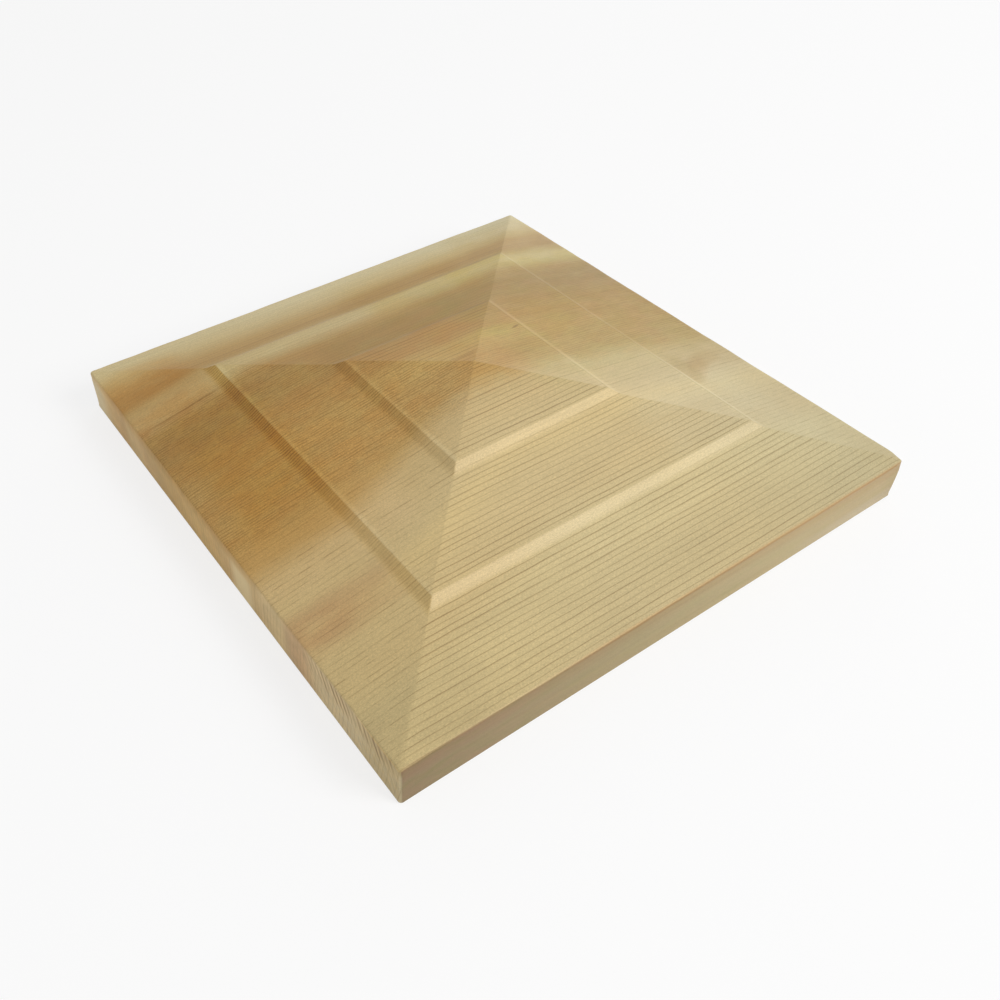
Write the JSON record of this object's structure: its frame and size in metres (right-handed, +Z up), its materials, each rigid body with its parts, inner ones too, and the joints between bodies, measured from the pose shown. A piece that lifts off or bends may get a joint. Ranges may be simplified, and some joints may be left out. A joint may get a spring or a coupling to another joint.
{
  "type": "pyramid post cap",
  "caption": "Square wooden post cap cut from solid: a low stepped pyramid with coved steps and mitred hips on an upright edge, and a shallow recess beneath that seats on a post.",
  "frame": {"origin": "middle of the underside", "axes": "+Z up through the point, +X along the wood's grain, +Y across it"},
  "size_m": [0.15, 0.15, 0.0285],
  "materials": {
    "softwood": "planed and lightly sanded softwood, unfinished and matte, with fine straight grain"
  },
  "bodies": {
    "root": {"post_cap": "softwood"}
  },
  "joints": []
}
